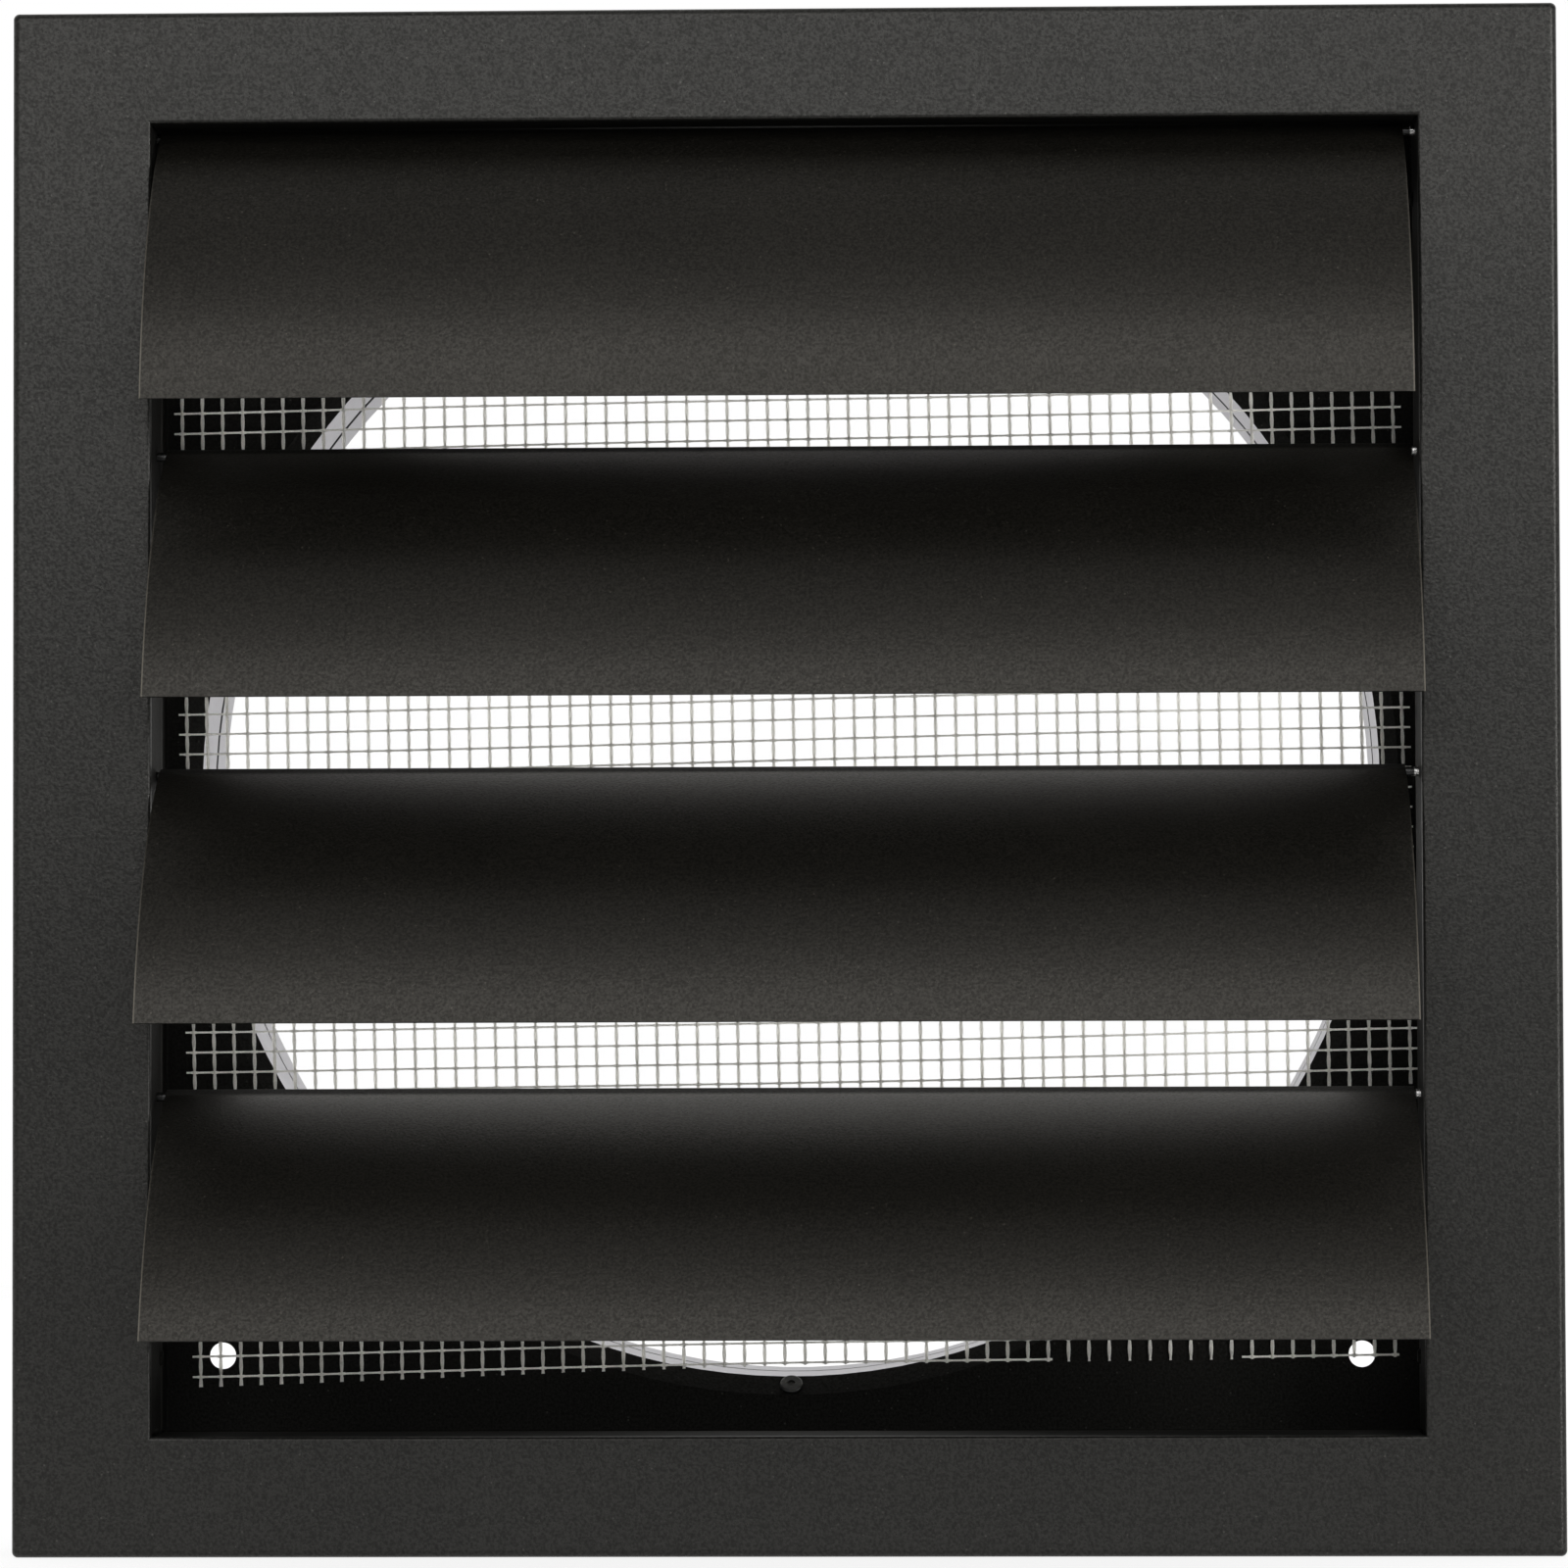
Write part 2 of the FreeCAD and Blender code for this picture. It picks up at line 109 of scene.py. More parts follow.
# What the values of noise lie between
NOISE_RANGE = (0.3, 0.7)

# Powder coat: refractive index, and the lower one and the added roughness where it is thin
FULL_IOR = 1.5
THIN_IOR = 1.2
THIN_DULLNESS = 0.35
# How much lighter or darker its grain and its clouds make it, how much duller or glossier its grain
# makes it, and the heights of the grain between which the flakes thin out
GRAIN_CONTRAST = 0.45
CLOUD_CONTRAST = 0.1
GRAIN_DULLNESS = 0.05
FLAKE_RANGE = (0.38, 0.62)
# Width of the clouds and of the specks' cells, in grains
CLOUD_GRAINS = 60
SPECK_GRAINS = 2.2
# A speck's radius in cells, the cells' random values from which they have one, and how much of it
# shows
SPECK_RADIUS = (0.1, 0.2)
SPECK_CHOICE = (0.86, 0.92)
SPECK_COVER = 0.6
# Brightness of the specks, of the painted highlights at the flaps' ends, of the painted shade along
# their crests and of the painted highlight at the lip's cut edge, in shares of the coat's own
# colour
SPECK_SHARE = 7.0
EDGE_HIGHLIGHT_SHARE = 10.0
CREST_SHADE_SHARE = 0.1
LIP_HIGHLIGHT_SHARE = 4.0
# Painted highlights at a flap's two ends: distances from its end, and below its highest and above
# its lowest corner
EDGE_HIGHLIGHT_WIDTH = (0.35 * MM, 0.2 * MM)
EDGE_HIGHLIGHT_FROM_TOP = 8 * MM
EDGE_HIGHLIGHT_FROM_BOTTOM = 10 * MM
# A flap's crest, painted darker as shade: distances below its highest corner
CREST_BELOW = (1.4 * MM, 0.8 * MM)
# Limits of the casing's inside: behind the face, to the sides, at the bottom and at the top
INSIDE_DEPTH = (-34.6 * MM, -33.0 * MM)
INSIDE_SIDE = (133 * MM, 134 * MM)
INSIDE_BOTTOM = (-137.2 * MM, -136.2 * MM)
INSIDE_TOP = (138 * MM, 139 * MM)
# Rear end of the front frame's lip, and where the painted highlight along its cut edge starts
LIP_END = -14.7 * MM
LIP_HIGHLIGHT = (LIP_END - 2.4 * MM, LIP_END - 1.8 * MM)

# The collar: inner radius of its wall, and the bead's distance, half width and height
INNER_RADIUS = 124.9 * MM
BEAD_DEPTH = 31 * MM
BEAD_HALF = 1.3 * MM
BEAD_HEIGHT = 0.9 * MM
# The dark line in the bead's groove: half width, the height below which it fades, over how much,
# how far it reaches into the sheet, and its brightness in shares of the zinc's
LINE_HALF = 2.3 * MM
LINE_END = 6 * MM
LINE_FADE = 46 * MM
LINE_REACH = (0.3 * MM, 0.4 * MM)
LINE_SHARE = 0.02
# Zinc coat: contrast of its crystals and of its dust, the dust's size and height, and the roughness
# of the dullest and the brightest crystal
CRYSTAL_CONTRAST = 0.07
DUST_CONTRAST = 0.05
DUST_SIZE = 0.9 * MM
DUST_HEIGHT = 0.02 * MM
ZINC_ROUGHNESS = (0.42, 0.56)

# Steel: its streaks' size, width in shares of their length, height, brightness and roughness
STREAK_SIZE = 0.15 * MM
STREAK_WIDTH = 0.08
STREAK_HEIGHT = 0.01 * MM
STREAK_SHARES = (0.85, 1.1)
STREAK_DULLNESS = (-0.06, 0.08)
# Grime on steel: size of its spots, the noise between which they set in, and their brightness
GRIME_SIZE = 1.5 * MM
GRIME_RANGE = (0.45, 0.75)
GRIME_SHARE = 0.25
# Roughness and share of grime of the axles and of the collar's rivets
WIRE_FINISH = (0.22, 0.1)
RIVET_FINISH = (0.42, 0.4)
# Up to this place, 1 mm before the lip's right wall, the axles have this dark colour and no metal,
# painted shade that leaves their glint to the last millimetre, and the shade fades over this length
SHADED_UNTIL = 130.2 * MM
SHADE_END = 0.2 * MM
SHADE_ON_WIRE = (0.01, 0.01, 0.009)

# Yarn: refractive index of its coat, size, height and contrast of its fibres, size and contrast of
# its patches, its roughness from low to high fibres, and how clear the level threads are, in
# shares of the strands' clearness
YARN_IOR = 1.2
FIBRE_SIZE = 0.12 * MM
FIBRE_HEIGHT = 0.03 * MM
FIBRE_CONTRAST = 0.22
PATCH_SIZE = 12 * MM
PATCH_CONTRAST = 0.12
YARN_ROUGHNESS = (0.62, 0.42)
THREAD_CLEARNESS = 0.2

# Corner clips: sheet, gap to the tray, legs, the upper clips' shorter leg down the side walls,
# and where they start behind the face and how far before the tray's back they end
CLIP_SHEET = 0.5 * MM
CLIP_GAP = 0.05 * MM
CLIP_LEG = 3 * MM
UPPER_CLIP_DROP = 1.5 * MM
CLIP_START = -32.3 * MM
CLIP_END = 1.5 * MM

# Woven screen: how far left of and below the plain screen it starts, the height below which it is a
# column narrower, and where a piece of the lowest thread is missing
SCREEN_LEFT = 0.4 * MM
SCREEN_DROP = 0.9 * MM
NARROW_BELOW = -66 * MM
MISSING_PIECE = (54 * MM, 92 * MM)
# Half the depth of the yarns' twist and half a level thread's thickness, in yarn thicknesses
TWIST_DEPTH = 0.55
THREAD_DEPTH = 0.4
# Steps of a yarn's full turn, and sides of a yarn and of a level thread
TWIST_STEPS = 8
YARN_SIDES = 4
THREAD_SIDES = 5
# How far a level thread reaches past the outer strands, in half columns
THREAD_END = 0.8
# Waves of the rows, in shares of their rise, and of the strands: height, turn across, turn upward
ROW_WAVE = (0.12, 6.0, 9.0)
STRAND_WAVE = (0.35 * MM, 4.2, 5.0)
# The cage that lays the weave: what it is larger by, its thickness, and points across, deep and up
CAGE_MARGIN = 8 * MM
CAGE_THICKNESS = 4 * MM
CAGE_POINTS = (7, 1, 6)
# Vertices closer than this are one, and edges sharper than this stay sharp
WELD = 0.01 * MM
SHARP = math.radians(80)

# What gloss sees round the object: degrees above the horizon and grey value
GLOSS_GRADIENT = ((-90, 0.0), (-0.5, 0.0), (0.7, 1.0), (10, 1.0), (13, 0.25), (18, 0.12),
                  (40, 0.18), (46, 0.7), (58, 0.65), (66, 0.28), (90, 0.28))
# Lamps: name, place, width, height, power in watts, and whether gloss mirrors it
LAMPS = (("front_softbox", (0.1, -1.7, 0.45), 2.4, 0.5, 8, True),
         ("upper_softbox", (0.1, -1.6, 1.1), 2.4, 0.6, 11, True),
         ("right_softbox", (1.3, -1.3, 0.15), 0.5, 1.0, 13, True),
         ("overhead_softbox", (0.0, 0.25, 2.1), 3.0, 1.2, 55, False),
         ("behind", (0.0, 1.3, 0.3), 1.4, 1.2, 8, False))
# Floor and backdrop: size, the backdrop's distance behind the wall plane, roughness, and how white
# the camera sees the floor
STAGE_SIZE = 8.0
BACKDROP_DEPTH = 1.6
STAGE_ROUGHNESS = 0.9
FLOOR_WHITENESS = 0.85
# Depths between which the floor's glow in mirrors rises, and its value at each
FLOOR_GLOW_DEPTH = (-1.0, -0.6)
FLOOR_GLOW = (0.0, 0.8)


class PaintSettings(PropertyGroup):
    """Powder coat of the casing, the tray and the flaps."""

    casing_colour: FloatVectorProperty(
        name="Casing colour", description="Bronze-black coat on the face and its returns",
        subtype="COLOR", size=3, default=(0.0082, 0.0080, 0.0071), min=0, max=1)
    tray_colour: FloatVectorProperty(
        name="Tray colour", description="Thin, dull coat inside the casing",
        subtype="COLOR", size=3, default=(0.0090, 0.0087, 0.0078), min=0, max=1)
    flap_colour: FloatVectorProperty(
        name="Flap colour", description="Coat on the flaps, a little warmer than the casing's",
        subtype="COLOR", size=3, default=(0.0062, 0.0057, 0.0046), min=0, max=1)
    casing_tint: FloatVectorProperty(
        name="Casing tint", description="Tint of the casing's gloss",
        subtype="COLOR", size=3, default=(1.0, 0.99, 0.95), min=0, max=1)
    flap_tint: FloatVectorProperty(
        name="Flap tint", description="Tint of the flaps' gloss",
        subtype="COLOR", size=3, default=(1.0, 0.96, 0.88), min=0, max=1)
    grain_size: FloatProperty(
        name="Grain size", description="Width of one lump of the coat's texture",
        unit="LENGTH", default=0.6 * MM, min=0.05 * MM, max=5 * MM)
    grain_height: FloatProperty(
        name="Grain height", description="Height of the coat's texture",
        unit="LENGTH", default=0.06 * MM, min=0, max=1 * MM)
    roughness: FloatProperty(
        name="Roughness", description="Roughness of the coat between its lumps",
        subtype="FACTOR", default=0.32, min=0, max=1)
    sheen: FloatProperty(
        name="Sheen",
        description="Strength of the coat's gloss, weaker than bare resin's by its texture",
        subtype="FACTOR", default=0.37, min=0, max=1)
    flakes: FloatProperty(
        name="Flakes", description="Share of bronze flakes in the low spots of the coat",
        subtype="FACTOR", default=0.36, min=0, max=1)


class MetalSettings(PropertyGroup):
    """Bare metals: the zinc-coated collar, the wire axles and the rivets."""

    zinc_colour: FloatVectorProperty(
        name="Zinc colour", description="Dull zinc coat of the collar",
        subtype="COLOR", size=3, default=(0.48, 0.47, 0.49), min=0, max=1)
    wire_colour: FloatVectorProperty(
        name="Wire colour", description="Drawn steel wire of the axles",
        subtype="COLOR", size=3, default=(0.88, 0.87, 0.85), min=0, max=1)
    rivet_colour: FloatVectorProperty(
        name="Rivet colour", description="Dull steel of the collar's rivets",
        subtype="COLOR", size=3, default=(0.10, 0.10, 0.096), min=0, max=1)
    crystal_size: FloatProperty(
        name="Crystal size", description="Width of one crystal of the zinc coat",
        unit="LENGTH", default=7 * MM, min=1 * MM, max=50 * MM)


class ScreenSettings(PropertyGroup):
    """Woven insect screen."""

    column_pitch: FloatProperty(
        name="Column pitch", description="Distance from one upright strand to the next",
        unit="LENGTH", default=4.27 * MM, min=1 * MM, max=20 * MM)
    row_pitch: FloatProperty(
        name="Row pitch", description="Distance from one level thread to the next",
        unit="LENGTH", default=4.24 * MM, min=1 * MM, max=20 * MM)
    yarn_width: FloatProperty(
        name="Yarn width", description="Width of each of the two yarns of an upright strand",
        unit="LENGTH", default=0.44 * MM, min=0.1 * MM, max=2 * MM)
    yarn_thickness: FloatProperty(
        name="Yarn thickness", description="Thickness of each yarn of an upright strand",
        unit="LENGTH", default=0.26 * MM, min=0.05 * MM, max=1 * MM)
    twist_width: FloatProperty(
        name="Twist width", description="How far the two yarns stand apart between two threads",
        unit="LENGTH", default=0.38 * MM, min=0.1 * MM, max=2 * MM)
    thread_width: FloatProperty(
        name="Thread width", description="Width of a level thread between two strands",
        unit="LENGTH", default=0.46 * MM, min=0.1 * MM, max=2 * MM)
    knot_width: FloatProperty(
        name="Knot width", description="Width of a level thread where a strand grips it",
        unit="LENGTH", default=0.85 * MM, min=0.1 * MM, max=3 * MM)
    stub_length: FloatProperty(
        name="Stub length", description="How far the leftmost strand stands past the lowest thread",
        unit="LENGTH", default=2.1 * MM, min=0, max=10 * MM)
    short_stub: FloatProperty(
        name="Short stub", description="The same for the strands of the right half",
        unit="LENGTH", default=0.5 * MM, min=0, max=10 * MM)
    right_rise: FloatProperty(
        name="Rise to the right", description="How much higher a thread lies at its right end",
        unit="LENGTH", default=4.8 * MM, min=-10 * MM, max=10 * MM)
    left_lean: FloatProperty(
        name="Lean to the left", description="How much further left a strand lies at its top end",
        unit="LENGTH", default=4.6 * MM, min=-10 * MM, max=10 * MM)
    clearness: FloatProperty(
        name="Clearness", description="Share of the light that passes through the upright strands",
        subtype="FACTOR", default=0.38, min=0, max=1)
    colour: FloatVectorProperty(
        name="Yarn colour", description="Pale coated glass yarn",
        subtype="COLOR", size=3, default=(0.90, 0.885, 0.83), min=0, max=1)


class StudioSettings(PropertyGroup):
    """Camera, lamps, floor and backdrop."""

    camera_place: FloatVectorProperty(
        name="Camera place", description="A little right of and below the middle of the face",
        subtype="XYZ", size=3, default=(0.04256, -1.45928, -0.05519))
    camera_aim: FloatVectorProperty(
        name="Camera aim", description="Point of the face in the middle of the view",
        subtype="XYZ", size=3, default=(-0.0000963, -0.035, -0.0009908))
    camera_roll: FloatProperty(
        name="Camera roll", description="Turn of the camera about its own axis",
        subtype="ANGLE", default=math.radians(-0.1776))
    lens: FloatProperty(
        name="Lens", description="Focal length on a 36 mm wide sensor",
        unit="CAMERA", default=158.69, min=10, max=500)
    ambient: FloatProperty(
        name="Ambient", description="Strength of the even light from all round",
        default=0.38, min=0, max=2)
    floor_colour: FloatVectorProperty(
        name="Floor colour", description="Plain pale floor and backdrop",
        subtype="COLOR", size=3, default=(0.8, 0.8, 0.8), min=0, max=1)


def set_inputs(node, values):
    """Sets constants on a node's own sockets."""
    for name, value in values.items():
        node.inputs[name].default_value = value


def new_finish(name, **constants):
    """A material with one Principled shader, and the node tree to build on."""
    material = bpy.data.materials.new(name)
    material.use_nodes = True
    tree = material.node_tree
    shader = tree.nodes["Principled BSDF"]
    set_inputs(shader, constants)
    return material, tree, shader


def object_coordinates(tree):
    return tree.nodes.new("ShaderNodeTexCoord").outputs["Object"]


def noise(tree, vector, size, detail=2.0, roughness=0.5):
    """Noise whose lumps are about size metres wide."""
    node = tree.nodes.new("ShaderNodeTexNoise")
    set_inputs(node, {"Scale": 1.0 / size, "Detail": detail, "Roughness": roughness})
    tree.links.new(vector, node.inputs["Vector"])
    return node.outputs["Fac"]


def cells(tree, vector, size):
    """Cells about size metres wide: outputs with the distance to a cell's middle and its colour."""
    node = tree.nodes.new("ShaderNodeTexVoronoi")
    set_inputs(node, {"Scale": 1.0 / size, "Randomness": 1.0})
    tree.links.new(vector, node.inputs["Vector"])
    return node.outputs


def ramp(tree, value, low, high, low_out=0.0, high_out=1.0):
    """Maps value from low..high to low_out..high_out, clamped."""
    node = tree.nodes.new("ShaderNodeMapRange")
    set_inputs(node, {"From Min": low, "From Max": high, "To Min": low_out, "To Max": high_out})
    tree.links.new(value, node.inputs["Value"])
    return node.outputs["Result"]


def math_node(tree, operation, first, second=None):
    """Result of an operation on one or two values. Each is an output socket or a number."""
    node = tree.nodes.new("ShaderNodeMath")
    node.operation = operation
    for socket, value in zip(node.inputs, (first, second)):
        if value is None:
            continue
        if isinstance(value, (int, float)):
            socket.default_value = value
        else:
            tree.links.new(value, socket)
    return node.outputs["Value"]


def product(tree, first, *others):
    """Product of two or more values."""
    for other in others:
        first = math_node(tree, "MULTIPLY", first, other)
    return first


def mix_colour(tree, factor, low, high):
    """Colour low at factor 0 and high at 1. Each is an output socket or three numbers."""
    node = tree.nodes.new("ShaderNodeMix")
    node.data_type = "RGBA"
    tree.links.new(factor, node.inputs["Factor"])
    for name, value in (("A", low), ("B", high)):
        socket = [s for s in node.inputs if s.name == name and s.type == "RGBA"][0]
        if isinstance(value, bpy.types.NodeSocket):
            tree.links.new(value, socket)
        else:
            socket.default_value = (*value, 1.0)
    return [s for s in node.outputs if s.type == "RGBA"][0]


def scaled(colour, share):
    return tuple(channel * share for channel in colour)


def contrast(tree, value, reach, limits=NOISE_RANGE):
    """Maps noise, or what lies between other limits, to -reach..reach."""
    return ramp(tree, value, *limits, -reach, reach)


def toned(tree, colour, first, second):
    """Colour made lighter or darker by the sum of two contrasts."""
    tone = ramp(tree, math_node(tree, "ADD", first, second), -1.0, 1.0)
    return mix_colour(tree, tone, BLACK, scaled(colour, 2.0))


def bump(tree, height, distance):
    """Normal of a surface with lumps distance high."""
    node = tree.nodes.new("ShaderNodeBump")
    set_inputs(node, {"Strength": 1.0, "Distance": distance})
    tree.links.new(height, node.inputs["Height"])
    return node.outputs["Normal"]


def separate(tree, vector):
    node = tree.nodes.new("ShaderNodeSeparateXYZ")
    tree.links.new(vector, node.inputs["Vector"])
    return node.outputs


def link_shader(tree, shader, colour, roughness, normal):
    """Links what varies over the surface."""
    for name, value in (("Base Color", colour), ("Roughness", roughness), ("Normal", normal)):
        tree.links.new(value, shader.inputs[name])


def inside_casing(tree, where):
    """1 on surfaces inside the opening, behind the face, and 0 on the face and outside."""
    x, y, z = separate(tree, where)
    deep = ramp(tree, y, *INSIDE_DEPTH)
    across = ramp(tree, math_node(tree, "ABSOLUTE", x), *INSIDE_SIDE, 1.0, 0.0)
    above = ramp(tree, z, *INSIDE_BOTTOM)
    below = ramp(tree, z, *INSIDE_TOP, 1.0, 0.0)
    return product(tree, deep, across, above, below)


def specks(tree, where, size):
    """1 in the middle of a few of the cells, which are size metres wide, and 0 elsewhere."""
    spots = cells(tree, where, size)
    near = ramp(tree, spots["Distance"], *SPECK_RADIUS, 1.0, 0.0)
    chosen = ramp(tree, separate(tree, spots["Color"])["X"], *SPECK_CHOICE)
    return product(tree, near, chosen)


def painted_edge_masks(tree, where, low, high):
    """Masks of a flap between two corners: 1 at its ends for painted highlights, 1 on its crest for
    painted shade.
    """
    x, _, z = separate(tree, where)
    middle, half = (low.x + high.x) / 2, (high.x - low.x) / 2
    along = math_node(tree, "ABSOLUTE", math_node(tree, "SUBTRACT", x, middle))
    ends = product(tree, ramp(tree, along, *(half - width for width in EDGE_HIGHLIGHT_WIDTH)),
                   ramp(tree, z, high.z - EDGE_HIGHLIGHT_FROM_TOP, low.z + EDGE_HIGHLIGHT_FROM_BOTTOM))
    crest = ramp(tree, z, *(high.z - below for below in CREST_BELOW))
    return ends, crest


def powder_coat(name, colour, settings, thin=False, dry=None, highlit_ends=None):
    """Matt powder coat: fine lumps in height and tone, sparse pale specks, faint clouds.

    With thin, it is a dull coat, as where little powder reaches. With dry, it is so only inside
    the casing, where it takes that colour and has a painted highlight along the lip's cut edge.
    Given a flap's lowest and highest corner, it has painted highlights right at the flap's two
    ends, and painted shade along its crest, where it is also duller.
    """
    tint = settings.casing_tint if highlit_ends is None else settings.flap_tint
    material, tree, shader = new_finish(name, IOR=THIN_IOR if thin else FULL_IOR, **{
        "Specular IOR Level": settings.sheen, "Specular Tint": (*tint, 1.0)})
    where = object_coordinates(tree)
    lumps = noise(tree, where, settings.grain_size, detail=3.0, roughness=0.6)
    clouds = noise(tree, where, CLOUD_GRAINS * settings.grain_size)
    coat = toned(tree, colour, contrast(tree, lumps, GRAIN_CONTRAST),
                 contrast(tree, clouds, CLOUD_CONTRAST))
    speck = product(tree, specks(tree, where, SPECK_GRAINS * settings.grain_size), SPECK_COVER)
    coat = mix_colour(tree, speck, coat, scaled(colour, SPECK_SHARE))
    roughness = settings.roughness + (THIN_DULLNESS if thin else 0.0)
    gloss = ramp(tree, lumps, *NOISE_RANGE, roughness + GRAIN_DULLNESS, roughness - GRAIN_DULLNESS)
    bronze = ramp(tree, lumps, *FLAKE_RANGE, settings.flakes, 0.0)
    tree.links.new(bronze, shader.inputs["Metallic"])
    if highlit_ends is not None:
        ends, crest = painted_edge_masks(tree, where, *highlit_ends)
        # Painted highlight right at the flap's two ends
        coat = mix_colour(tree, ends, coat, scaled(colour, EDGE_HIGHLIGHT_SHARE))
        # Painted shade along the flap's crest, which is also made duller
        coat = mix_colour(tree, crest, coat, scaled(colour, CREST_SHADE_SHARE))
        gloss = math_node(tree, "ADD", gloss, product(tree, crest, THIN_DULLNESS))
    if dry is not None:
        inside = inside_casing(tree, where)
        # Painted highlight: a paler band just before the lip's rear end
        lip_highlight = ramp(tree, separate(tree, where)["Y"], *LIP_HIGHLIGHT)
        lip = mix_colour(tree, lip_highlight, dry, scaled(dry, LIP_HIGHLIGHT_SHARE))
        coat = mix_colour(tree, inside, coat, lip)
        gloss = math_node(tree, "ADD", gloss, product(tree, inside, THIN_DULLNESS))
        tree.links.new(ramp(tree, inside, 0, 1, FULL_IOR, THIN_IOR), shader.inputs["IOR"])
    link_shader(tree, shader, coat, gloss, bump(tree, lumps, settings.grain_height))
    return material


def groove_line(tree, where):
    """1 in the groove that the bead makes inside the collar, fading below LINE_END, else 0."""
    x, y, z = separate(tree, where)
    off_line = math_node(tree, "ABSOLUTE", math_node(tree, "SUBTRACT", y, BEAD_DEPTH))
    on_line = ramp(tree, off_line, LINE_HALF / 2, LINE_HALF, 1.0, 0.0)
    upper = ramp(tree, z, LINE_END - LINE_FADE, LINE_END)
    squares = math_node(tree, "ADD", product(tree, x, x), product(tree, z, z))
    inner_face = ramp(tree, off_line, 0.0, BEAD_HALF, INNER_RADIUS + BEAD_HEIGHT, INNER_RADIUS)
    outward = math_node(tree, "SUBTRACT", math_node(tree, "SQRT", squares), inner_face)
    return product(tree, on_line, upper, ramp(tree, outward, *LINE_REACH, 1.0, 0.0))


def bare_zinc(name, settings):
    """Dull zinc coat with faint crystals, and a dark line in the groove of the bead."""
    material, tree, shader = new_finish(name, Metallic=1.0)
    where = object_coordinates(tree)
    crystal = separate(tree, cells(tree, where, settings.crystal_size)["Color"])["X"]
    dust = noise(tree, where, DUST_SIZE, detail=3.0)
    colour = settings.zinc_colour
    zinc = toned(tree, colour, contrast(tree, crystal, CRYSTAL_CONTRAST, limits=(0.0, 1.0)),
                 contrast(tree, dust, DUST_CONTRAST))
    zinc = mix_colour(tree, groove_line(tree, where), zinc, scaled(colour, LINE_SHARE))
    gloss = ramp(tree, crystal, 0.0, 1.0, *ZINC_ROUGHNESS)
    link_shader(tree, shader, zinc, gloss, bump(tree, dust, DUST_HEIGHT))
    return material


def drawn_steel(name, colour, roughness, grime, shaded_until=None):
    """Drawn or formed bare steel with fine streaks along X and a little grime.

    Left of the given place it is dark and not metallic, painted shade.
    """
    material, tree, shader = new_finish(name, Metallic=1.0)
    where = object_coordinates(tree)
    stretch = tree.nodes.new("ShaderNodeMapping")
    stretch.inputs["Scale"].default_value = (STREAK_WIDTH, 1.0, 1.0)
    tree.links.new(where, stretch.inputs["Vector"])
    streaks = noise(tree, stretch.outputs["Vector"], STREAK_SIZE)
    spots = noise(tree, where, GRIME_SIZE, detail=3.0)
    steel = mix_colour(tree, ramp(tree, streaks, *NOISE_RANGE),
                       *(scaled(colour, share) for share in STREAK_SHARES))
    steel = mix_colour(tree, ramp(tree, spots, *GRIME_RANGE, 0.0, grime), steel,
                       scaled(colour, GRIME_SHARE))
    # Painted shade: left of the given place the wire is dark and not metallic
    if shaded_until is not None:
        bare = ramp(tree, separate(tree, where)["X"], shaded_until, shaded_until + SHADE_END)
        steel = mix_colour(tree, bare, SHADE_ON_WIRE, steel)
        tree.links.new(bare, shader.inputs["Metallic"])
    gloss = ramp(tree, streaks, *NOISE_RANGE, *(roughness + dull for dull in STREAK_DULLNESS))
    link_shader(tree, shader, steel, gloss, bump(tree, streaks, STREAK_HEIGHT))
    return material


def coated_yarn(name, colour, clearness):
    """Pale glass yarn under a coat that lets some light through: fine fibres and faint patches."""
    material, tree, shader = new_finish(name, Metallic=0.0, **{
        "Transmission Weight": clearness, "IOR": YARN_IOR})
    where = object_coordinates(tree)
    fibres = noise(tree, where, FIBRE_SIZE)
    patches = noise(tree, where, PATCH_SIZE)
    yarn = toned(tree, colour, contrast(tree, fibres, FIBRE_CONTRAST),
                 contrast(tree, patches, PATCH_CONTRAST))
    gloss = ramp(tree, fibres, *NOISE_RANGE, *YARN_ROUGHNESS)
    link_shader(tree, shader, yarn, gloss, bump(tree, fibres, FIBRE_HEIGHT))
    return material


def dress(node_names, material):
    """Puts one finish on CAD nodes."""
    for name in node_names:
        slots = frame["nodes"][name].data.materials
        slots.clear()
        slots.append(material)


def nodes_like(prefix):
    return sorted(name for name in frame["nodes"] if name.startswith(prefix))


def deselect_all():
    for item in bpy.context.view_layer.objects:
        item.select_set(False)


def pick(item):
    """Makes an object the active one and the only one selected."""
    deselect_all()
    item.select_set(True)
    bpy.context.view_layer.objects.active = item


def apply_modifier(item, kind, name, **settings):
    """Adds a modifier with its settings and applies it."""
    modifier = item.modifiers.new(name, kind)
    for key, value in settings.items():
        setattr(modifier, key, value)
    pick(item)
    bpy.ops.object.modifier_apply(modifier=modifier.name)


def repeat(item, name, count, offset, weld=False):
    """Repeats a mesh count times by offset, its ends joined to the next one's with weld."""
    apply_modifier(item, "ARRAY", name, count=count, use_relative_offset=False,
                   use_constant_offset=True, constant_offset_displace=offset,
                   use_merge_vertices=weld, merge_threshold=WELD)


def select_vertices(item, wanted):
    """In edit mode, selects only the vertices for which wanted(co) is true."""
    bpy.ops.mesh.select_mode(type="VERT")
    bpy.ops.mesh.select_all(action="DESELECT")
    bpy.ops.object.mode_set(mode="OBJECT")
    count = 0
    for vertex in item.data.vertices:
        vertex.select = bool(wanted(vertex.co))
        count += vertex.select
    bpy.ops.object.mode_set(mode="EDIT")
    if count == 0:
        raise RuntimeError("no vertex of %s is where the step expects one" % item.name)


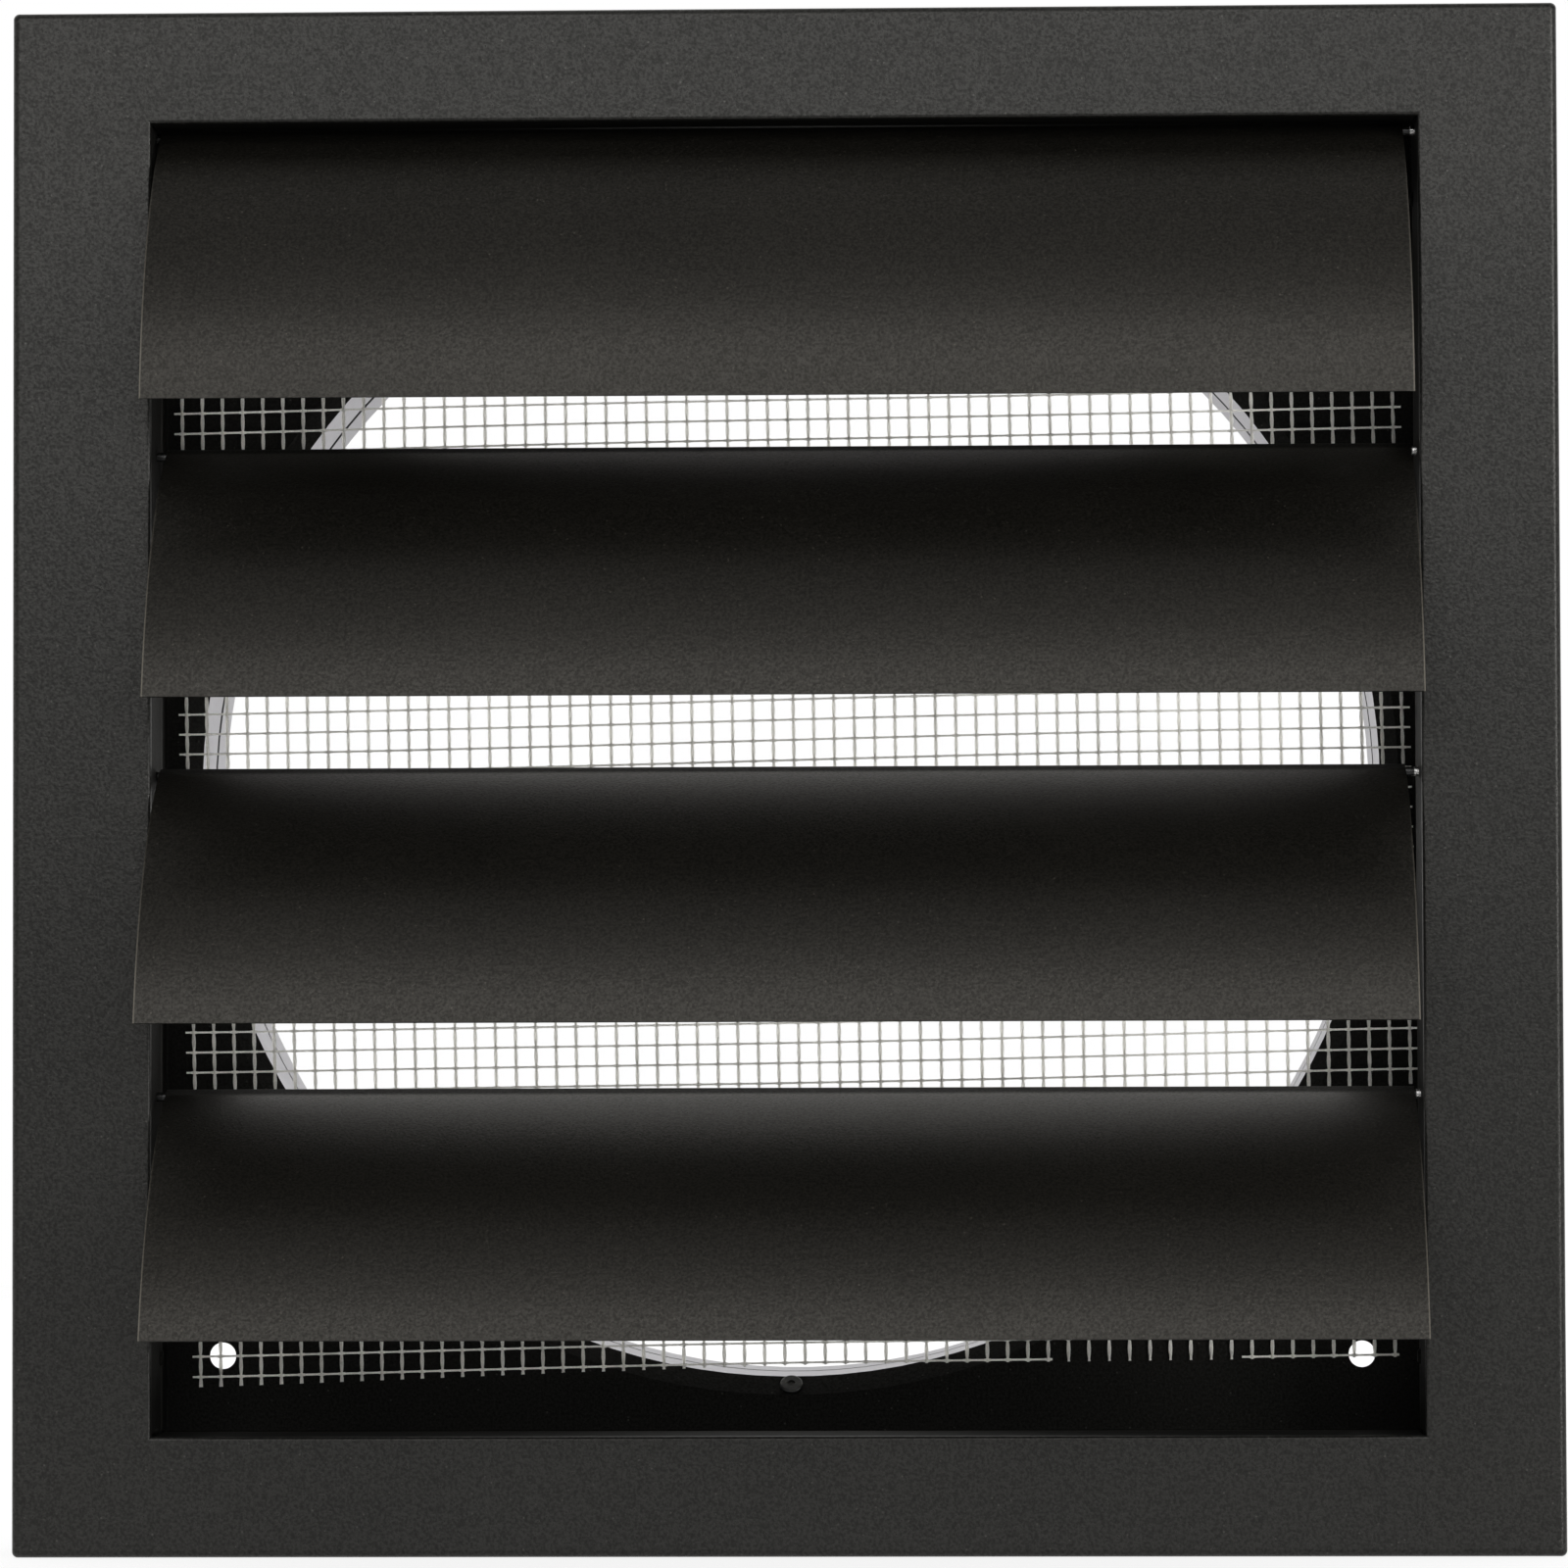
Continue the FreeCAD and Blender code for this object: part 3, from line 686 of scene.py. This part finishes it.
def open_ring(name, sides):
    """Edge ring of radius 1 in the XY plane, active and in edit mode with all selected."""
    deselect_all()
    bpy.ops.mesh.primitive_circle_add(vertices=sides, radius=1.0, fill_type="NOTHING",
                                      location=(0, 0, 0))
    item = bpy.context.object
    item.name = name
    bpy.ops.object.mode_set(mode="EDIT")
    bpy.ops.mesh.select_all(action="SELECT")
    return item


def extrude(offset):
    """Extrudes the selected open edges by an offset."""
    bpy.ops.mesh.extrude_edges_move(TRANSFORM_OT_translate={"value": tuple(offset)})


def crop(item, co, normal, wanted=None):
    """Cuts a mesh with a plane, drops what lies on the normal's side and closes the ends.

    With wanted, only the parts whose vertices pass the test wanted(co) are cut.
    """
    if wanted is None:
        bpy.ops.mesh.select_all(action="SELECT")
    else:
        select_vertices(item, wanted)
    bpy.ops.mesh.bisect(plane_co=co, plane_no=normal, use_fill=True, clear_outer=True,
                        clear_inner=False)


def cut_short(item, from_x):
    """Drops what lies right of from_x in the lower rows, where the mesh is a column narrower."""
    select_vertices(item, lambda co: co.x > from_x and co.z < NARROW_BELOW)
    bpy.ops.mesh.delete(type="VERT")
    bpy.ops.mesh.select_all(action="SELECT")
    bpy.ops.mesh.fill_holes(sides=8)


def twisted_yarn(name, side, settings, low, high, columns, rows):
    """One of the two yarns of all the upright strands: half a turn round the other per thread."""
    period = 2 * settings.row_pitch
    turn = 2 * math.pi / TWIST_STEPS
    half_apart = side * settings.twist_width / 2
    half_deep = side * settings.yarn_thickness * TWIST_DEPTH

    def path(step):
        return Vector((half_apart * math.sin(step * turn), -half_deep * math.cos(step * turn),
                       step * period / TWIST_STEPS))

    item = open_ring(name, YARN_SIDES)
    bpy.ops.transform.resize(value=(settings.yarn_width / 2, settings.yarn_thickness / 2, 1),
                             center_override=(0, 0, 0))
    bpy.ops.transform.translate(value=Vector(low) + path(0) - Vector((0, 0, period)))
    for step in range(TWIST_STEPS):
        extrude(path(step + 1) - path(step))
    bpy.ops.object.mode_set(mode="OBJECT")
    repeat(item, "up", rows // 2 + 3, (0, 0, period), weld=True)
    bpy.ops.object.mode_set(mode="EDIT")
    crop(item, (0, 0, high[2]), (0, 0, 1))
    bpy.ops.object.mode_set(mode="OBJECT")
    repeat(item, "across", columns, (settings.column_pitch, 0, 0))
    bpy.ops.object.mode_set(mode="EDIT")
    half_way = (low[0] + high[0] + settings.column_pitch) / 2
    slope = (settings.stub_length - settings.short_stub) / (half_way - low[0])
    crop(item, (low[0], 0, low[2] - settings.stub_length), (slope, 0, -1),
         lambda co: co.x < half_way)
    crop(item, (0, 0, low[2] - settings.short_stub), (0, 0, -1), lambda co: co.x >= half_way)
    cut_short(item, high[0] - settings.column_pitch / 2)
    bpy.ops.object.mode_set(mode="OBJECT")
    return item


def level_threads(name, settings, low, high, columns, rows):
    """All the level threads, each wider where a strand grips it. The lowest has a piece missing."""
    half = settings.column_pitch / 2
    stretch = settings.knot_width / settings.thread_width
    # From the middle of one mesh to the next: half columns, and how much wider the end gets
    steps = ((0.6, 1.0), (0.4, stretch), (0.4, 1 / stretch), (0.6, 1.0))
    item = open_ring(name, THREAD_SIDES)
    bpy.ops.transform.resize(value=(settings.yarn_thickness * THREAD_DEPTH,
                                    settings.thread_width / 2, 1), center_override=(0, 0, 0))
    for axis in "YX":
        bpy.ops.transform.rotate(value=math.pi / 2, orient_axis=axis, center_override=(0, 0, 0))
    centre = Vector(low) - Vector((half, 0, 0))
    bpy.ops.transform.translate(value=centre)
    for share, swell in steps:
        extrude((share * half, 0, 0))
        centre += Vector((share * half, 0, 0))
        bpy.ops.transform.resize(value=(1, 1, swell), center_override=centre)
    bpy.ops.object.mode_set(mode="OBJECT")
    repeat(item, "across", columns, (settings.column_pitch, 0, 0), weld=True)
    bpy.ops.object.mode_set(mode="EDIT")
    crop(item, (high[0] + half * THREAD_END, 0, 0), (1, 0, 0))
    crop(item, (low[0] - half * THREAD_END, 0, 0), (-1, 0, 0))
    bpy.ops.object.mode_set(mode="OBJECT")
    repeat(item, "up", rows, (0, 0, settings.row_pitch))
    bpy.ops.object.mode_set(mode="EDIT")
    left, right = MISSING_PIECE
    select_vertices(item, lambda co: left < co.x < right and co.z < low[2] + settings.row_pitch / 2)
    bpy.ops.mesh.delete(type="VERT")
    cut_short(item, high[0] - settings.column_pitch / 2)
    bpy.ops.object.mode_set(mode="OBJECT")
    return item


def hand_laid(items, low, high, rise, lean):
    """Lays the flat weave as a loosely cut screen lies: it is turned a little and waves."""
    size = Vector((high[0] - low[0] + CAGE_MARGIN, CAGE_THICKNESS, high[2] - low[2] + CAGE_MARGIN))
    bpy.ops.object.add(type="LATTICE", location=(Vector(low) + Vector(high)) / 2)
    cage = bpy.context.object
    cage.scale = size
    cage.data.points_u, cage.data.points_v, cage.data.points_w = CAGE_POINTS
    row_height, row_across, row_up = ROW_WAVE
    strand_height, strand_across, strand_up = STRAND_WAVE
    for point in cage.data.points:
        across, up = point.co.x, point.co.z
        row_wave = row_height * math.sin(row_across * across + row_up * up)
        strand_wave = strand_height * math.sin(strand_up * up + strand_across * across)
        point.co_deform.z += rise / size.z * (across + row_wave)
        point.co_deform.x += (-lean * up + strand_wave) / size.x
    for item in items:
        apply_modifier(item, "LATTICE", "laid", object=cage)
    bpy.data.objects.remove(cage)


def smooth(item):
    pick(item)
    bpy.ops.object.shade_smooth_by_angle(angle=SHARP)


def outward_normals(item):
    pick(item)
    bpy.ops.object.mode_set(mode="EDIT")
    bpy.ops.mesh.select_all(action="SELECT")
    bpy.ops.mesh.normals_make_consistent(inside=False)
    bpy.ops.object.mode_set(mode="OBJECT")


class VENT_OT_coat_casing(Operator):
    """Powder coat on the front frame, the back tray and the rivets painted over with them"""

    bl_idname = "vent_cover.coat_casing"
    bl_label = "Coat Casing"

    def execute(self, context):
        paint = context.scene.vent_paint
        inner = tuple(paint.tray_colour)
        face = powder_coat("casing_paint", tuple(paint.casing_colour), paint, dry=inner)
        dress(["front_frame"], face)
        dress(["back_tray"], powder_coat("tray_paint", inner, paint, thin=True))
        dress(nodes_like("casing_rivet"), powder_coat("painted_rivet", inner, paint, thin=True))
        return {"FINISHED"}


class VENT_OT_coat_flaps(Operator):
    """Powder coat on the four flaps"""

    bl_idname = "vent_cover.coat_flaps"
    bl_label = "Coat Flaps"

    def execute(self, context):
        paint = context.scene.vent_paint
        for name in nodes_like("flap_"):
            if "axle" in name:
                continue
            coat = powder_coat("flap_paint_" + name[-1], tuple(paint.flap_colour), paint,
                               highlit_ends=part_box(name))
            dress([name], coat)
        return {"FINISHED"}


class VENT_OT_finish_metals(Operator):
    """Bare zinc on the collar, drawn steel on the axles and dull steel on the collar's rivets"""

    bl_idname = "vent_cover.finish_metals"
    bl_label = "Finish Bare Metals"

    def execute(self, context):
        metals = context.scene.vent_metal
        dress(["duct_collar"], bare_zinc("galvanised_sheet", metals))
        dress(nodes_like("flap_axle"), drawn_steel(
            "axle_wire", tuple(metals.wire_colour), *WIRE_FINISH, shaded_until=SHADED_UNTIL))
        dress(nodes_like("collar_rivet"), drawn_steel(
            "rivet_steel", tuple(metals.rivet_colour), *RIVET_FINISH))
        return {"FINISHED"}


def folded_clip(name, corner, leg_x, leg_z, y_range):
    """Strip of sheet folded round a corner of the tray: one leg runs along x, the other along z."""
    deselect_all()
    bpy.ops.mesh.primitive_plane_add(size=1.0, location=(0, 0, 0))
    item = bpy.context.object
    item.name = name
    depth = y_range[1] - y_range[0]
    bpy.ops.object.mode_set(mode="EDIT")
    bpy.ops.mesh.select_all(action="SELECT")
    bpy.ops.transform.resize(value=(abs(leg_x), depth, 1), center_override=(0, 0, 0))
    bpy.ops.transform.translate(value=(corner[0] + leg_x / 2, y_range[0] + depth / 2, corner[1]))
    select_vertices(item, lambda co: abs(co.x - corner[0]) < WELD)
    extrude((0, 0, leg_z))
    bpy.ops.mesh.select_all(action="SELECT")
    bpy.ops.mesh.normals_make_consistent(inside=False)
    bpy.ops.object.mode_set(mode="OBJECT")
    apply_modifier(item, "SOLIDIFY", "sheet", thickness=CLIP_SHEET, offset=0.0,
                   use_even_offset=True)
    return item


class VENT_OT_clip_corners(Operator):
    """Folded clips that close the four corners of the casing's lip and the tray from outside"""

    bl_idname = "vent_cover.clip_corners"
    bl_label = "Clip Corners"

    def execute(self, context):
        low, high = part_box("back_tray")
        coat = frame["nodes"]["back_tray"].data.materials[0]
        off = CLIP_SHEET / 2 + CLIP_GAP
        y_range = (CLIP_START, high.y - CLIP_END)
        for number, (x_side, z_side) in enumerate(((-1, 1), (1, 1), (-1, -1), (1, -1)), 1):
            corner = (high.x + off if x_side > 0 else low.x - off,
                      high.z + off if z_side > 0 else low.z - off)
            leg_z = UPPER_CLIP_DROP if z_side > 0 else CLIP_LEG
            clip = folded_clip("corner_clip_%d" % number, corner, -x_side * CLIP_LEG,
                               -z_side * leg_z, y_range)
            outward_normals(clip)
            clip.data.materials.append(coat)
            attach(clip, "casing")
        return {"FINISHED"}


class VENT_OT_weave_screen(Operator):
    """Woven glass-yarn screen in place of the plain screen"""

    bl_idname = "vent_cover.weave_screen"
    bl_label = "Weave Screen"

    def execute(self, context):
        settings = context.scene.vent_screen
        box_low, box_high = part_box("insect_screen")
        columns = int((box_high.x - box_low.x) / settings.column_pitch) + 1
        rows = int((box_high.z - box_low.z) / settings.row_pitch) + 1
        middle_y = box_high.y - settings.yarn_thickness
        centre_x = (box_low.x + box_high.x) / 2 - SCREEN_LEFT
        half_x = (columns - 1) * settings.column_pitch / 2
        low = (centre_x - half_x, middle_y, box_low.z - SCREEN_DROP)
        high = (centre_x + half_x, middle_y, low[2] + (rows - 1) * settings.row_pitch)
        strands = [twisted_yarn(name, side, settings, low, high, columns, rows)
                   for name, side in (("screen_yarn_front", 1), ("screen_yarn_back", -1))]
        threads = level_threads("screen_threads", settings, low, high, columns, rows)
        pieces = strands + [threads]
        hand_laid(pieces, low, high, settings.right_rise, settings.left_lean)
        colour = tuple(settings.colour)
        clear = coated_yarn("screen_yarn", colour, settings.clearness)
        dense = coated_yarn("screen_thread", colour, settings.clearness * THREAD_CLEARNESS)
        for piece, yarn in zip(pieces, (clear, clear, dense)):
            outward_normals(piece)
            smooth(piece)
            piece.data.materials.append(yarn)
            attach(piece, "casing")
        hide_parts("insect_screen")
        return {"FINISHED"}


def rays(tree, *kinds):
    """1 for rays of any of the named kinds, such as Is Camera Ray."""
    path = tree.nodes.new("ShaderNodeLightPath")
    total = path.outputs[kinds[0]]
    for kind in kinds[1:]:
        total = math_node(tree, "MAXIMUM", total, path.outputs[kind])
    return total


def emission(tree, strength):
    """White emission, its strength a number or an output socket."""
    node = tree.nodes.new("ShaderNodeEmission")
    node.inputs["Color"].default_value = (*WHITE, 1.0)
    if isinstance(strength, (int, float)):
        node.inputs["Strength"].default_value = strength
    else:
        tree.links.new(strength, node.inputs["Strength"])
    return node.outputs["Emission"]


def mix_shaders(tree, factor, low, high):
    """Shader low at factor 0 and high at 1."""
    node = tree.nodes.new("ShaderNodeMixShader")
    for socket, value in zip(node.inputs, (factor, low, high)):
        tree.links.new(value, socket)
    return node.outputs["Shader"]


def matt_base(name, colour):
    """A dull plain material for the stage, its tree and the shader's output."""
    material, tree, shader = new_finish(name, Roughness=STAGE_ROUGHNESS, **{
        "Base Color": (*colour, 1.0)})
    return material, tree, shader.outputs["BSDF"]


def set_surface(tree, surface):
    tree.links.new(surface, tree.nodes["Material Output"].inputs["Surface"])


def backdrop_material(name, colour):
    """Seen as plain white by the camera, mirrors and glass, and lit as colour by the lamps."""
    material, tree, lit = matt_base(name, colour)
    seen = rays(tree, "Is Camera Ray", "Is Glossy Ray", "Is Transmission Ray")
    set_surface(tree, mix_shaders(tree, seen, lit, emission(tree, 1.0)))
    return material


def floor_material(name, colour):
    """Pale floor: whitened to the camera, but with its shadows, and white near by in mirrors."""
    material, tree, lit = matt_base(name, colour)
    white = product(tree, rays(tree, "Is Camera Ray", "Is Transmission Ray"), FLOOR_WHITENESS)
    surface = mix_shaders(tree, white, lit, emission(tree, 1.0))
    forward = separate(tree, object_coordinates(tree))["Y"]
    glow = emission(tree, ramp(tree, forward, *FLOOR_GLOW_DEPTH, *FLOOR_GLOW))
    set_surface(tree, mix_shaders(tree, rays(tree, "Is Glossy Ray"), surface, glow))
    return material


def elevation_gradient(tree, steps):
    """Grey by height above the horizon, from pairs of degrees and value."""
    direction = tree.nodes.new("ShaderNodeTexCoord").outputs["Generated"]
    height = ramp(tree, separate(tree, direction)["Z"], -1.0, 1.0)
    node = tree.nodes.new("ShaderNodeValToRGB")
    tree.links.new(height, node.inputs["Fac"])
    stops = node.color_ramp.elements
    for index, (degrees, value) in enumerate(steps):
        place = (math.sin(math.radians(degrees)) + 1) / 2
        stop = stops[index] if index < 2 else stops.new(place)
        stop.position = place
        stop.color = (value, value, value, 1.0)
    return node.outputs["Color"]


def studio_world(tree, ambient, steps):
    """White to the camera, a gradient of cards in gloss, and an even level for matt faces."""
    gloss = mix_colour(tree, rays(tree, "Is Glossy Ray"), scaled(WHITE, ambient),
                       elevation_gradient(tree, steps))
    shown = mix_colour(tree, rays(tree, "Is Camera Ray", "Is Transmission Ray"), gloss, WHITE)
    background = tree.nodes["Background"]
    tree.links.new(shown, background.inputs["Color"])
    background.inputs["Strength"].default_value = 1.0


def soft_lamp(name, place, width, height, power, mirrored):
    """Area lamp of the given size, aimed at the origin, that the camera doesn't see."""
    data = bpy.data.lights.new(name, "AREA")
    data.shape = "RECTANGLE"
    data.size, data.size_y = width, height
    data.energy = power
    lamp = bpy.data.objects.new(name, data)
    bpy.context.scene.collection.objects.link(lamp)
    lamp.location = place
    lamp.rotation_euler = (-Vector(place)).to_track_quat("-Z", "Y").to_euler()
    lamp.visible_camera = False
    lamp.visible_glossy = mirrored


class VENT_OT_build_studio(Operator):
    """Pale floor and backdrop, soft lamps, and the camera at the photograph's angle"""

    bl_idname = "vent_cover.build_studio"
    bl_label = "Build Studio"

    def execute(self, context):
        studio = context.scene.vent_studio
        low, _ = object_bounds()
        colour = tuple(studio.floor_colour)
        deselect_all()
        bpy.ops.mesh.primitive_plane_add(size=STAGE_SIZE, location=(0, 0, low.z))
        floor = context.object
        floor.name = "studio_floor"
        floor.data.materials.append(floor_material("studio_floor", colour))
        bpy.ops.mesh.primitive_plane_add(size=STAGE_SIZE, location=(0, BACKDROP_DEPTH, 0),
                                         rotation=(math.pi / 2, 0, 0))
        backdrop = context.object
        backdrop.name = "studio_backdrop"
        backdrop.data.materials.append(backdrop_material("studio_backdrop", colour))
        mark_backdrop(floor, backdrop)
        world = context.scene.world or bpy.data.worlds.new("studio")
        context.scene.world = world
        world.use_nodes = True
        studio_world(world.node_tree, studio.ambient, GLOSS_GRADIENT)
        for lamp in LAMPS:
            soft_lamp(*lamp)
        self.place_camera(context, studio)
        return {"FINISHED"}

    def place_camera(self, context, studio):
        data = bpy.data.cameras.new("camera")
        data.sensor_width = 36.0
        data.lens = studio.lens
        data.clip_start = 0.05
        camera = bpy.data.objects.new("camera", data)
        context.scene.collection.objects.link(camera)
        place, aim = Vector(studio.camera_place), Vector(studio.camera_aim)
        turn = (aim - place).to_track_quat("-Z", "Y").to_matrix().to_4x4()
        roll = Matrix.Rotation(studio.camera_roll, 4, "Z")
        camera.matrix_world = Matrix.Translation(place) @ turn @ roll
        context.scene.camera = camera
        context.scene.view_settings.view_transform = "Standard"


class VENT_PT_sidebar(Panel):
    """Steps of the vent cover's finish, in order"""

    bl_idname = "VENT_PT_sidebar"
    bl_label = "Vent Cover"
    bl_space_type = "VIEW_3D"
    bl_region_type = "UI"
    bl_category = "Vent Cover"

    def draw(self, context):
        for step in STEPS:
            self.layout.operator(step.bl_idname)


STEPS = (VENT_OT_coat_casing, VENT_OT_coat_flaps, VENT_OT_finish_metals, VENT_OT_clip_corners,
         VENT_OT_weave_screen, VENT_OT_build_studio)
GROUPS = {"vent_paint": PaintSettings, "vent_metal": MetalSettings, "vent_screen": ScreenSettings,
          "vent_studio": StudioSettings}


def register():
    for group in GROUPS.values():
        bpy.utils.register_class(group)
    for name, group in GROUPS.items():
        setattr(bpy.types.Scene, name, PointerProperty(type=group))
    for step in STEPS:
        bpy.utils.register_class(step)
    bpy.utils.register_class(VENT_PT_sidebar)


def unregister():
    bpy.utils.unregister_class(VENT_PT_sidebar)
    for step in reversed(STEPS):
        bpy.utils.unregister_class(step)
    for name, group in reversed(GROUPS.items()):
        delattr(bpy.types.Scene, name)
        bpy.utils.unregister_class(group)


def main():
    register()
    bpy.ops.vent_cover.coat_casing()
    bpy.ops.vent_cover.coat_flaps()
    bpy.ops.vent_cover.finish_metals()
    bpy.ops.vent_cover.clip_corners()
    bpy.ops.vent_cover.weave_screen()
    bpy.ops.vent_cover.build_studio()


if __name__ == "__main__":
    main()
